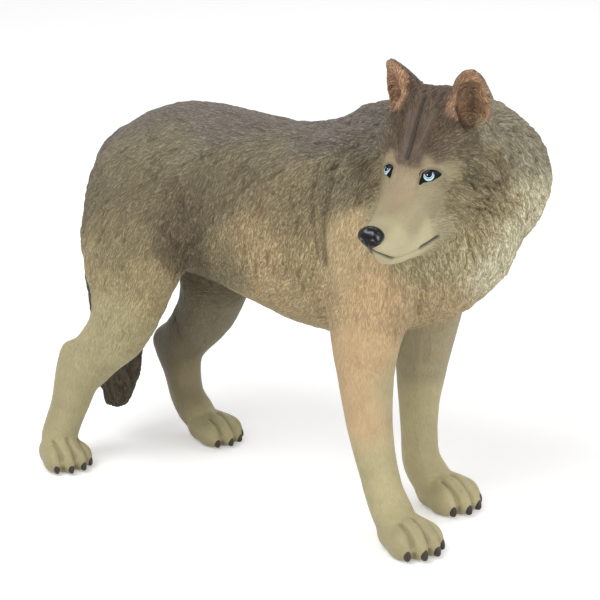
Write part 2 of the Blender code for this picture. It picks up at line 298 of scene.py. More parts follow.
def distance_to_path(points: np.ndarray, path: np.ndarray) -> np.ndarray:
    """Distance from each point to a run of straight pieces."""
    nearest = np.full(len(points), 1e9)
    for start, end in zip(path[:-1], path[1:]):
        along = end - start
        share = np.clip(((points - start) @ along) / (along @ along), 0.0, 1.0)
        nearest = np.minimum(nearest, np.linalg.norm(points - start - share[:, None] * along, axis=1))
    return nearest


# Back, belly, breast and mane, where the two sides aren't alike.
BACK_AND_MANE: tuple[GuideRow, ...] = (
    ((-66, 0, 131), (-0.9, 0, -0.35), Tone.SLATE, 15, 0.26, 0.2),
    ((-42, 0, 139), (-1, 0, 0), Tone.SLATE, 17, 0.26, 0.2),
    ((-14, 0, 137), (-1, 0, 0), Tone.SLATE, 17, 0.28, 0.2),
    ((12, 0, 134), (-1, 0, 0), Tone.SLATE, 16, 0.3, 0.25),
    ((34, 2, 141), (-0.9, 0, -0.2), Tone.SLATE, 15, 0.34, 0.35),
    ((-84, 0, 112), (-0.35, 0, -0.95), Tone.SLATE, 14, 0.26, 0.25),
    ((4, 0, 66), (-1, 0, 0), Tone.CREAM, 16, 0.2, 0.15),
    # The darker tone at the groin, under the belly between the hind legs, is painted shade.
    ((-42, 0, 68), (-1, 0, 0.2), Tone.MOSS, 13, 0.2, 0.15),
    ((62, 0, 76), (0.1, 0, -1), Tone.SAND, 12, 0.24, 0.2),
    ((80, 0, 100), (0.3, 0, -0.95), Tone.MANE_PALE, 12, 0.3, 0.4),
    ((87, 9, 137), (0.3, 0.3, -0.9), Tone.MANE, 12, 0.34, 0.35),
    ((89, 8, 117), (0.2, 0.2, -0.95), Tone.MANE_PALE, 11, 0.34, 0.4),
    ((74, 12, 151), (0.2, 0.8, -0.5), Tone.MANE, 11, 0.34, 0.3),
    ((62, 30, 140), (0.0, 0.7, -0.7), Tone.MANE, 13, 0.34, 0.4),
    ((62, 34, 118), (-0.1, 0.2, -0.95), Tone.MANE_PALE, 12, 0.34, 0.4),
    ((48, 10, 150), (-0.6, 0.6, -0.4), Tone.SLATE, 13, 0.34, 0.35),
    ((40, -14, 143), (-0.5, 0.1, -0.8), Tone.SLATE, 9, 0.34, 0.35),
    # The dark patch on the right of the neck, behind and under the turned head, is painted shade.
    ((40, -24, 131), (-0.3, 0, -0.95), Tone.DUSK, 8, 0.34, 0.35),
)

# Haunches, flanks and shoulders, on the right and mirrored on the left.
BODY_SIDES: tuple[GuideRow, ...] = (
    ((-66, -22, 118), (-0.6, -0.2, -0.8), Tone.OLIVE_GREY, 13, 0.26, 0.2),
    ((-50, -29, 112), (-0.6, -0.1, -0.8), Tone.MOSS, 12, 0.26, 0.15),
    ((-44, -20, 127), (-0.75, -0.1, -0.6), Tone.OLIVE_GREY, 10, 0.26, 0.15),
    ((-76, -22, 100), (-0.4, 0, -0.9), Tone.MOSS, 13, 0.26, 0.25),
    ((-56, -35, 90), (-0.4, 0, -0.9), Tone.OLIVE, 12, 0.26, 0.2),
    ((-44, -33, 77), (-0.35, 0, -0.95), Tone.STRAW, 10, 0.24, 0.15),
    ((-68, -31, 80), (-0.3, 0, -0.95), Tone.STRAW, 11, 0.24, 0.2),
    ((-60, -35, 65), (-0.3, 0, -0.95), Tone.CREAM, 10, 0.16, 0.1),
    ((-30, -27, 103), (-0.35, 0, -0.95), Tone.DUSK, 9, 0.3, 0.25),
    ((-34, -27, 90), (-0.3, 0, -0.95), Tone.DUSK, 8, 0.3, 0.25),
    ((-12, -25, 119), (-0.35, -0.1, -0.95), Tone.MOSS, 13, 0.3, 0.2),
    ((-2, -17, 129), (-0.6, -0.1, -0.8), Tone.OLIVE_GREY, 10, 0.3, 0.2),
    ((14, -27, 114), (-0.35, 0, -0.95), Tone.OLIVE, 13, 0.32, 0.3),
    ((2, -30, 99), (-0.3, 0, -0.95), Tone.SAND, 12, 0.3, 0.25),
    ((-14, -28, 90), (-0.3, 0, -0.95), Tone.OLIVE, 10, 0.3, 0.2),
    ((21, -30, 97), (-0.25, 0, -0.95), Tone.STRAW, 10, 0.3, 0.3),
    ((8, -24, 78), (-0.5, 0, -0.6), Tone.SAND, 12, 0.24, 0.15),
    ((30, -28, 84), (-0.35, 0, -0.9), Tone.SAND, 9, 0.24, 0.15),
    ((30, -26, 124), (-0.25, 0, -0.95), Tone.OLIVE_GREY, 9, 0.34, 0.4),
    ((39, -31, 103), (-0.25, 0, -0.95), Tone.TAN, 12, 0.2, 0.08),
    ((50, -29, 90), (-0.1, 0, -1), Tone.OCHRE, 10, 0.18, 0.05),
    ((64, -17, 87), (0.1, 0, -1), Tone.SAND, 11, 0.24, 0.2),
    ((73, -16, 104), (0.1, -0.1, -1), Tone.PALE_CREAM, 10, 0.3, 0.4),
)

# The four legs and the tail, each on its own.
LEGS_AND_TAIL: tuple[GuideRow, ...] = (
    ((43, -32, 66), (0, 0, -1), Tone.OCHRE, 10, 0.1, 0.0),
    ((47, -32, 46), (0, 0, -1), Tone.OCHRE, 10, 0.06, 0.0),
    ((50, -20, 52), (0, 0, -1), Tone.CREAM, 9, 0.06, 0.0),
    ((55, -31, 26), (0.2, 0, -1), Tone.CREAM, 13, 0.05, 0.0),
    ((66, -32, 8), (1, -0.2, -0.3), Tone.PAW, 9, 0.03, 0.0),
    ((47, 13, 56), (0, 0, -1), Tone.MUZZLE, 10, 0.08, 0.0),
    ((45, 14, 33), (0, 0, -1), Tone.CREAM, 10, 0.06, 0.0),
    ((58, 10, 9), (1, 0, -0.3), Tone.CREAM, 10, 0.03, 0.0),
    ((-74, -28, 50), (-0.4, 0, -1), Tone.CREAM, 10, 0.12, 0.0),
    ((-82, -30, 28), (0, 0, -1), Tone.PAW, 10, 0.06, 0.0),
    ((-82, -36, 8), (1, -0.3, -0.3), Tone.PAW, 9, 0.03, 0.0),
    # The left hind leg, on the far side, is darker than the right one: partly its own paint, partly painted
    # shade.
    ((-52, 20, 50), (-0.5, 0, -0.9), Tone.OLIVE_GREY, 9, 0.12, 0.05),
    ((-73, 24, 34), (0, 0, -1), Tone.MOSS, 9, 0.08, 0.0),
    ((-66, 20, 18), (0.3, 0, -1), Tone.OLIVE, 9, 0.05, 0.0),
    ((-50, 18, 8), (1, 0, -0.3), Tone.PAW, 9, 0.03, 0.0),
    ((-90, 0, 92), (-0.1, 0, -1), Tone.SLATE, 10, 0.26, 0.35),
    ((-86, 0, 64), (0.1, 0, -1), Tone.TAIL, 13, 0.26, 0.45),
    ((-81, 0, 36), (0.2, 0, -1), Tone.TAIL, 13, 0.26, 0.45),
)

# The head's middle, from the crown over the nose's bridge to the throat.
HEAD_MIDLINE: tuple[GuideRow, ...] = (
    ((-10, 0, 17), (-0.7, 0, 0.7), Tone.MAUVE, 5, 0.28, 0.1),
    ((2, 0, -34), (-0.3, 0, -0.95), Tone.PALE_CREAM, 9, 0.32, 0.4),
    ((14, 0, -4), (-1, 0, 0.2), Tone.DUN, 5, 0.03, 0.0),
    ((23, 0, -7), (-1, 0, 0.1), Tone.MUZZLE, 4, 0.0, 0.0),
    ((20, 0, -22), (-1, 0, -0.1), Tone.PALE_CREAM, 6, 0.02, 0.0),
)

# Brow, cheeks, ruff and lips, on the left and mirrored on the right.
HEAD_SIDES: tuple[GuideRow, ...] = (
    ((0, 2.5, 6.5), (-0.6, 0.1, 0.8), Tone.MAUVE, 3.4, 0.2, 0.0),
    ((-4, 5, 12), (-0.6, 0.25, 0.75), Tone.UMBER, 5, 0.28, 0.1),
    ((-3, 10.5, 8), (-0.6, 0.6, 0.5), Tone.MAUVE, 4, 0.26, 0.08),
    ((-12, 9, 16), (-0.7, 0.3, 0.6), Tone.UMBER, 6, 0.3, 0.2),
    ((-22, 4, 21), (-0.9, 0.1, 0.3), Tone.MAUVE, 6, 0.34, 0.3),
    ((-34, 6, 20), (-0.9, 0.2, 0), Tone.SLATE, 8, 0.3, 0.25),
    ((-8, 14.5, 8), (-0.75, 0.5, -0.1), Tone.DUSK, 5, 0.3, 0.2),
    ((0.4, 7.0, 5.0), (-0.6, 0.5, 0.5), Tone.DUN, 2.2, 0.08, 0.0),
    ((-4, 13, 0), (-0.75, 0.5, -0.4), Tone.CHEEK, 4.5, 0.18, 0.05),
    ((-11, 18, -3), (-0.5, 0.55, -0.7), Tone.MOSS, 5, 0.3, 0.45),
    ((-5, 15, -12), (-0.5, 0.5, -0.7), Tone.OLIVE, 6, 0.26, 0.35),
    ((-12, 20, -16), (-0.4, 0.5, -0.8), Tone.OLIVE, 7, 0.34, 0.6),
    ((-18, 23, -6), (-0.4, 0.5, -0.8), Tone.OLIVE, 6, 0.34, 0.55),
    ((-19, 24, -20), (-0.35, 0.45, -0.85), Tone.STRAW, 7, 0.34, 0.6),
    ((-10, 16, -27), (-0.35, 0.35, -0.9), Tone.STRAW, 8, 0.34, 0.55),
    ((3, 9, -7), (-0.85, 0.4, -0.3), Tone.CHEEK, 4, 0.06, 0.0),
    ((5, 2, 1), (-0.9, 0, 0.4), Tone.DUN, 3.5, 0.05, 0.0),
    ((15, 6, -10), (-1, 0.2, 0), Tone.MUZZLE, 5, 0.02, 0.0),
    ((22, 4, -14), (-1, 0.1, -0.1), Tone.PALE_CREAM, 5, 0.0, 0.0),
    ((12, 8, -18), (-1, 0.2, -0.1), Tone.PALE_CREAM, 5, 0.02, 0.0),
    ((3, 11, -18), (-0.9, 0.4, -0.3), Tone.MUZZLE, 5, 0.12, 0.05),
    ((6, 6, -26), (-0.9, 0.2, -0.3), Tone.MUZZLE, 6, 0.14, 0.1),
)

GUIDES: tuple[Guide, ...] = (
    *guides(Place.BODY, False, BACK_AND_MANE + LEGS_AND_TAIL),
    *guides(Place.BODY, True, BODY_SIDES),
    *guides(Place.HEAD, False, HEAD_MIDLINE),
    *guides(Place.HEAD, True, HEAD_SIDES),
)

CREASES: tuple[Crease, ...] = (
    Crease(((31.3, 0, -11.2), (30.6, 0.7, -12.6), (28.6, 1.5, -14.4), (26.4, 2.6, -16.4), (24.4, 3.6, -17.9)),
           0.6, 0.7, Tone.INK, 0.8, 1.0),
    Crease(((24.4, 3.6, -17.9), (22.0, 4.9, -18.9), (17.6, 6.9, -19.6), (13.2, 8.3, -19.9)), 0.4, 0.45,
           Tone.UMBER, 0.35, 0.4),
    Crease(((13.2, 8.3, -19.9), (10.0, 9.6, -19.9), (6.4, 11.1, -19.4)), 0.7, 1.0,
           Tone.INK, 0.75, 1.0),
    Crease(((1.5, -0.7, 7.0), (-5.2, -0.8, 11.0), (-10.2, -0.9, 15.0), (-16.6, -1.0, 20.0)), 0.8, 1.3,
           Tone.INK, 0.6, 0.95, paired=False),
    Crease(((-2.0, 2.4, 9.0), (-6.5, 3.6, 13), (-11, 4.4, 17)), 0.8, 0.35, Tone.UMBER, 0.7, 0.3),
    Crease(((-23.6, 12.4, 20.5), (-23.4, 12.0, 14.0), (-21.5, 12.8, 10.6), (-18.6, 14.2, 9.2)), 1.0, 1.0,
           Tone.INK, 0.9, 0.75),
    # The cheek ruff's fold and the body's folds below are darkened with painted shade.
    Crease(((-16.1, 17.9, 7.2), (-16.5, 22.2, 0.9), (-17.9, 25.2, -7.4), (-17.5, 27.2, -14.5)), 1.5, 0.9,
           Tone.DUSK, 1.8, 0.35),
    Crease(((29, -15.3, 139), (29, -21.3, 133.3), (28.1, -24.8, 128.1), (29.1, -28.8, 119.4),
            (29.5, -30.6, 111.8), (30.4, -30.5, 97.5)), 1.4, 1.2, Tone.DUSK, 1.6, 0.75, Place.BODY),
    Crease(((22.5, -22.5, 129), (23.5, -28.0, 118), (26.5, -31.0, 108), (27.5, -31.2, 99)), 0.8, 0.7,
           Tone.DUSK, 0.9, 0.6, Place.BODY),
    Crease(((-41, -25.5, 114.5), (-38.6, -27.5, 106), (-38.5, -29, 97.5)), 0.8, 0.6,
           Tone.DUSK, 1.0, 0.6, Place.BODY),
    Crease(((-33.8, -28, 93), (-31.5, -24.5, 87), (-27.5, -20, 81.5)), 0.8, 0.7,
           Tone.DUSK, 0.9, 0.7, Place.BODY),
    Crease(((40.4, -22.8, 132.9), (40.9, -26.1, 126.8), (41.6, -28.3, 120.5)), 1.2, 0.8,
           Tone.DUSK, 1.5, 0.5, Place.BODY, False),
    Crease(((-36.9, -25.8, 111.9), (-32.1, -26.5, 103.7), (-28.7, -25.4, 94.8), (-28, -21.9, 86)), 2.4, 0.9,
           Tone.DUSK, 3.0, 0.5, Place.BODY),
)


@dataclass(frozen=True)
class Paw:
    """Where a paw stands, in body millimetres, which way it points, in degrees, and its size."""

    name: str
    x: float
    y: float
    heading: float
    size: float

    def spot(self, ahead: float, out: float, up: float) -> np.ndarray:
        """A point by the paw, in body millimetres.

        Args:
            ahead: Millimetres ahead of its middle, at size one.
            out: Millimetres to its left.
            up: Millimetres above the ground.

        Returns:
            The point.
        """
        turn = math.radians(self.heading)
        along = ahead * math.cos(turn) - out * math.sin(turn)
        across = ahead * math.sin(turn) + out * math.cos(turn)
        return np.array([self.x, self.y, 0.0]) + self.size * np.array([along, across, up])


PAWS: tuple[Paw, ...] = (
    Paw("hind_right", -85.0, -33.0, -20.0, 0.9),
    Paw("hind_left", -54.0, 19.5, -3.0, 0.9),
    Paw("fore_right", 62.5, -28.0, -16.0, 1.0),
    Paw("fore_left", 53.5, 12.5, -4.0, 1.0),
)
# Each toe's reach ahead of the paw's middle and out from it in millimetres, and its splay in degrees.
TOES: tuple[Triple, ...] = ((7.4, 2.75, 2.0), (7.4, -2.75, -2.0), (4.2, 6.9, 10.0), (4.2, -6.9, -10.0))
# The grooves between the toes: out from the paw's middle and back, and their run ahead and in height.
TOE_GAPS: tuple[tuple[float, float], ...] = ((0.0, 0.0), (4.7, 0.6), (-4.7, 0.6))
TOE_GAP_RUN: tuple[tuple[float, float], ...] = ((3.0, 11.0), (6.5, 9.0), (9.0, 5.5), (10.2, 1.5))


def toe_creases() -> list[Crease]:
    """The grooves between the toes of all four paws, darkened with painted shade, laid on the skin later."""
    found = []
    for paw in PAWS:
        for out, back in TOE_GAPS:
            path = tuple(tuple(paw.spot(far - back, out, high)) for far, high in TOE_GAP_RUN)
            found.append(Crease(path, 0.8, 1.0, Tone.DUSK, 0.6, 0.5, Place.BODY, False))
    return found


def applied(piece: Object) -> Object:
    """Replace a piece's mesh by what its modifiers make of it, and remove them."""
    evaluated = piece.evaluated_get(bpy.context.evaluated_depsgraph_get())
    mesh = bpy.data.meshes.new_from_object(evaluated)
    piece.modifiers.clear()
    piece.data = mesh
    return piece


def linked(name: str, data: bpy.types.ID) -> Object:
    """A new object for a mesh, a lamp or a camera, in the scene."""
    piece = bpy.data.objects.new(name, data)
    bpy.context.scene.collection.objects.link(piece)
    return piece


def read(items: bpy.types.bpy_prop_collection, name: str, width: int = 1, kind: type = float) -> np.ndarray:
    """One property of every item of a mesh's list.

    Args:
        items: The list, such as a mesh's vertices.
        name: The property's name.
        width: How many numbers it has.
        kind: The type of the numbers.

    Returns:
        The values, in rows when they have more than one number.
    """
    flat = np.empty(len(items) * width, kind)
    items.foreach_get(name, flat)
    return flat if width == 1 else flat.reshape(-1, width)


def from_bmesh(name: str, form: bmesh.types.BMesh, material: Material) -> Object:
    """A smooth-shaded object from a bmesh, which is freed.

    Args:
        name: The object's name.
        form: The bmesh.
        material: What it is painted with.

    Returns:
        The object.
    """
    bmesh.ops.recalc_face_normals(form, faces=form.faces)
    mesh = bpy.data.meshes.new(name)
    form.to_mesh(mesh)
    form.free()
    mesh.shade_smooth()
    mesh.materials.append(material)
    return linked(name, mesh)


class Nodes:
    """Short ways to add and link shader nodes in one tree."""

    def __init__(self, tree: NodeTree) -> None:
        """Work on a node tree."""
        self.tree = tree

    def add(self, kind: str, inputs: dict | None = None, **settings) -> bpy.types.Node:
        """Add a node.

        Args:
            kind: The node's type name, without ShaderNode.
            inputs: Values or sockets for its inputs, by name or number.
            settings: Its own properties.

        Returns:
            The node.
        """
        node = self.tree.nodes.new("ShaderNode" + kind)
        for name, value in settings.items():
            setattr(node, name, value)
        for name, value in (inputs or {}).items():
            self.put(node.inputs[name], value)
        return node

    def group(self, tree: NodeTree, inputs: dict) -> Socket:
        """The first output of a node group."""
        return self.add("Group", inputs, node_tree=tree).outputs[0]

    def put(self, socket: Socket, value) -> None:
        """Set an input's value, or link a socket to it."""
        if isinstance(value, Socket):
            self.tree.links.new(value, socket)
        else:
            socket.default_value = value

    def math(self, operation: str, first, second=0.0, third=0.0) -> Socket:
        """The result of a Math node."""
        return self.add("Math", {0: first, 1: second, 2: third}, operation=operation).outputs[0]

    def vector(self, operation: str, first, second=(0, 0, 0), scale=1.0) -> Socket:
        """The vector result of a Vector Math node."""
        node = self.add("VectorMath", {0: first, 1: second}, operation=operation)
        if operation == "SCALE":
            self.put(node.inputs["Scale"], scale)
        return node.outputs[0]

    def times(self, first, second) -> Socket:
        """The product of two values."""
        return self.math("MULTIPLY", first, second)

    def length(self, vector) -> Socket:
        """The length of a vector."""
        return self.add("VectorMath", {0: vector}, operation="LENGTH").outputs["Value"]

    def ramp(self, value, low: float, high: float, bottom=0.0, top=1.0) -> Socket:
        """A smooth step of a value between two limits."""
        inputs = {0: value, 1: low, 2: high, 3: bottom, 4: top}
        return self.add("MapRange", inputs, interpolation_type="SMOOTHSTEP").outputs[0]

    def mix(self, share, first, second, blend: str = "MIX") -> Socket:
        """Two colours mixed by a share."""
        node = self.add("Mix", data_type="RGBA", blend_type=blend)
        for socket, value in ((node.inputs[0], share), (node.inputs[6], first), (node.inputs[7], second)):
            self.put(socket, (*value, 1.0) if isinstance(value, tuple) and len(value) == 3 else value)
        return node.outputs[2]

    def dyed(self, colour, tint) -> Socket:
        """A colour multiplied by another."""
        return self.mix(1.0, colour, tint, "MULTIPLY")


def new_group(name: str, inputs: dict[str, str],
              outputs: dict[str, str]) -> tuple[Nodes, dict[str, Socket], bpy.types.Node]:
    """Start a shader node group.

    Args:
        name: The group's name.
        inputs: Socket kinds by input name, such as Float or Vector.
        outputs: Socket kinds by output name.

    Returns:
        Its nodes, its input sockets by name, and its output node.
    """
    tree = bpy.data.node_groups.new(name, "ShaderNodeTree")
    for socket, kind in inputs.items():
        tree.interface.new_socket(name=socket, in_out="INPUT", socket_type="NodeSocket" + kind)
    for socket, kind in outputs.items():
        tree.interface.new_socket(name=socket, in_out="OUTPUT", socket_type="NodeSocket" + kind)
    entry = tree.nodes.new("NodeGroupInput")
    given = {name: entry.outputs[name] for name in inputs}
    return Nodes(tree), given, tree.nodes.new("NodeGroupOutput")


def moulded_strokes() -> NodeTree:
    """Short strokes cut in the mould along the lie of the fur, from 0 in a groove to 1 on a ridge."""
    nodes, given, result = new_group(
        "moulded_strokes", {"Position": "Vector", "Comb": "Vector", "Per Metre": "Float", "Stretch": "Float"},
        {"Height": "Float"})
    base = nodes.vector("SCALE", given["Position"], scale=given["Per Metre"])
    drawn = nodes.vector("SCALE", given["Comb"], scale=given["Stretch"])
    total = None
    for share in (-0.5, -0.25, 0.0, 0.25, 0.5):
        spot = nodes.vector("ADD", base, nodes.vector("SCALE", drawn, scale=share))
        value = nodes.add("TexNoise", {"Vector": spot, "Scale": 1.0, "Detail": 0.0}).outputs[0]
        total = value if total is None else nodes.math("ADD", total, value)
    nodes.put(result.inputs["Height"], nodes.ramp(nodes.math("DIVIDE", total, 5.0), 0.42, 0.56))
    return nodes.tree


def airbrush_mottle() -> NodeTree:
    """Uneven sprayed paint: broad clouds and fine specks, about one."""
    nodes, given, result = new_group(
        "airbrush_mottle", {"Position": "Vector", "Clouds": "Float", "Specks": "Float"}, {"Shade": "Float"})
    cloud = nodes.add("TexNoise", {"Vector": given["Position"], "Scale": 130.0, "Detail": 2.0}).outputs[0]
    speck = nodes.add("TexNoise", {"Vector": given["Position"], "Scale": 1500.0, "Detail": 1.0}).outputs[0]
    broad = nodes.times(nodes.math("SUBTRACT", cloud, 0.5), given["Clouds"])
    fine = nodes.times(nodes.math("SUBTRACT", speck, 0.5), given["Specks"])
    nodes.put(result.inputs["Shade"], nodes.math("ADD", nodes.math("ADD", broad, fine), 1.0))
    return nodes.tree


@dataclass(frozen=True)
class Finish:
    """A Principled surface with plain values.

    Args:
        name: The material's name.
        colour: Linear base colour.
        roughness: Surface roughness.
        specular: Specular level.
        coat: Weight of a clear coat.
    """

    name: str
    colour: Triple
    roughness: float
    specular: float = 0.5
    coat: float = 0.0

    def start(self) -> tuple[Material, Nodes, bpy.types.Node]:
        """The material, its nodes and its Principled shader."""
        material = bpy.data.materials.new(self.name)
        material.use_nodes = True
        shader = material.node_tree.nodes["Principled BSDF"]
        shader.inputs["Base Color"].default_value = (*self.colour, 1.0)
        shader.inputs["Roughness"].default_value = self.roughness
        shader.inputs["Specular IOR Level"].default_value = self.specular
        shader.inputs["Coat Weight"].default_value = self.coat
        shader.inputs["Coat Roughness"].default_value = 0.08
        return material, Nodes(material.node_tree), shader


@dataclass(frozen=True)
class CoatFinish(Finish):
    """Sprayed vinyl fur: painted tones, painted shade darkening the grooves and painted highlight paling the
    ridges.
    """

    stroke_per_metre: float = 2600.0
    stretch: float = 2.8
    relief: float = 0.00045
    clouds: float = 0.34
    specks: float = 0.16
    # Share and tint of the painted highlight on the ridges, of the painted shade in the stroke grooves, and of
    # the painted shade in the deeper grooves.
    ridge_highlight: tuple[float, Triple] = (0.6, (1.34, 1.33, 1.28))
    stroke_groove_shade: tuple[float, Triple] = (0.5, (0.40, 0.33, 0.26))
    groove_shade_tint: tuple[float, Triple] = (0.8, (0.34, 0.27, 0.20))

    def build(self, strokes: NodeTree, mottle: NodeTree) -> Material:
        """Make the material.

        Args:
            strokes: The shared fur stroke group.
            mottle: The shared sprayed paint group.

        Returns:
            The material.
        """
        material, nodes, shader = self.start()
        place = nodes.add("TexCoord").outputs["Object"]
        paint, comb, fur, groove_shade = (
            nodes.add("Attribute", attribute_name=name).outputs[socket]
            for name, socket in (("paint", "Color"), ("comb", "Vector"), ("fur", "Fac"), ("groove_shade", "Fac")))
        height = nodes.group(strokes, {"Position": place, "Comb": comb, "Per Metre": self.stroke_per_metre,
                                       "Stretch": self.stretch})
        cloud = nodes.group(mottle, {"Position": place, "Clouds": self.clouds, "Specks": self.specks})
        shaded = nodes.dyed(paint, nodes.add("CombineColor", dict.fromkeys(range(3), cloud)).outputs[0])
        colour = shaded
        # Painted highlight on the ridges of the strokes, painted shade in their grooves and in the deeper
        # grooves between strokes and locks.
        for where, (share, tint) in (
            (nodes.times(height, fur), self.ridge_highlight),
            (nodes.times(nodes.math("SUBTRACT", 1.0, height), fur), self.stroke_groove_shade),
            (groove_shade, self.groove_shade_tint),
        ):
            colour = nodes.mix(nodes.times(where, share), colour, nodes.dyed(shaded, tint))
        nodes.put(shader.inputs["Base Color"], colour)
        rough = nodes.ramp(fur, 0.0, 1.0, self.roughness - 0.1, self.roughness + 0.04)
        nodes.put(shader.inputs["Roughness"], rough)
        lift = nodes.times(height, nodes.math("ADD", nodes.times(fur, 0.95), 0.05))
        bump = nodes.add("Bump", {"Strength": 0.9, "Distance": self.relief, "Height": lift})
        nodes.put(shader.inputs["Normal"], bump.outputs[0])
        return material


EYE_MAP = "eye"
EYE_MAP_WIDTH = 10.0


@dataclass(frozen=True)
class EyeFinish(Finish):
    """Black lacquer with a pale blue ring about the pupil, drawn on the eye's own map in millimetres."""

    iris: float = 1.75
    pupil: float = 1.25
    rise: float = 0.72
    edge: float = 0.08
    line_out: float = 0.36
    dark_blue: Triple = (0.08, 0.24, 0.36)
    pale_blue: Triple = (0.62, 0.80, 0.88)
    glint_at: Triple = (-0.5, 0.45, 0.0)
    glint_tone: Triple = (0.85, 0.88, 0.9)

    def build(self) -> Material:
        """Make the material."""
        material, nodes, shader = self.start()
        flat = nodes.add("UVMap", uv_map=EYE_MAP).outputs[0]
        spot = nodes.vector("SCALE", nodes.vector("SUBTRACT", flat, (0.5, 0.5, 0.0)), scale=EYE_MAP_WIDTH)
        inside = nodes.ramp(nodes.length(spot), self.iris - self.edge, self.iris + self.edge, 1.0, 0.0)
        near = nodes.length(nodes.vector("SUBTRACT", spot, (0.0, self.rise, 0.0)))
        outside = nodes.ramp(near, self.pupil - self.edge, self.pupil + self.edge)
        off_line = nodes.math("ABSOLUTE", nodes.math("SUBTRACT", near, self.pupil + self.line_out))
        line = nodes.ramp(off_line, 0.1, 0.22, 0.1, 1.0)
        below = nodes.ramp(nodes.add("SeparateXYZ", {0: spot}).outputs["Y"], 0.55, 0.95, 1.0, 0.0)
        ring = nodes.times(nodes.times(inside, outside), below)
        colour = nodes.mix(ring, self.colour, nodes.mix(line, self.dark_blue, self.pale_blue))
        spark = nodes.ramp(nodes.length(nodes.vector("SUBTRACT", spot, self.glint_at)), 0.1, 0.22, 1.0, 0.0)
        nodes.put(shader.inputs["Base Color"], nodes.mix(spark, colour, self.glint_tone))
        return material


@dataclass(frozen=True)
class HornFinish(Finish):
    """Dark glossy paint with a fine grain and patches of a second colour, for the nose and the claws; on the
    nose the patches are pale painted highlight streaks.
    """

    grain: float = 1400.0
    patches: float = 420.0
    relief: float = 0.00012
    # Colour of the patches: darker paint on the claws, pale painted highlight streaks on the nose.
    patch_and_highlight: Triple = (0.02, 0.017, 0.015)

    def build(self) -> Material:
        """Make the material."""
        material, nodes, shader = self.start()
        place = nodes.add("TexCoord").outputs["Object"]
        cell = nodes.add("TexVoronoi", {"Vector": place, "Scale": self.grain}, feature="SMOOTH_F1").outputs[0]
        cloud = nodes.add("TexNoise", {"Vector": place, "Scale": self.patches, "Detail": 2.0}).outputs[0]
        # Patches of the second colour: painted highlight streaks on the nose, darker paint on the claws.
        colour = nodes.mix(nodes.ramp(cloud, 0.56, 0.68), self.colour, self.patch_and_highlight)
        nodes.put(shader.inputs["Base Color"], colour)
        rough = nodes.ramp(cloud, 0.35, 0.7, self.roughness, self.roughness + 0.2)
        nodes.put(shader.inputs["Roughness"], rough)
        bump = nodes.add("Bump", {"Strength": 0.6, "Distance": self.relief, "Height": cell})
        nodes.put(shader.inputs["Normal"], bump.outputs[0])
        return material


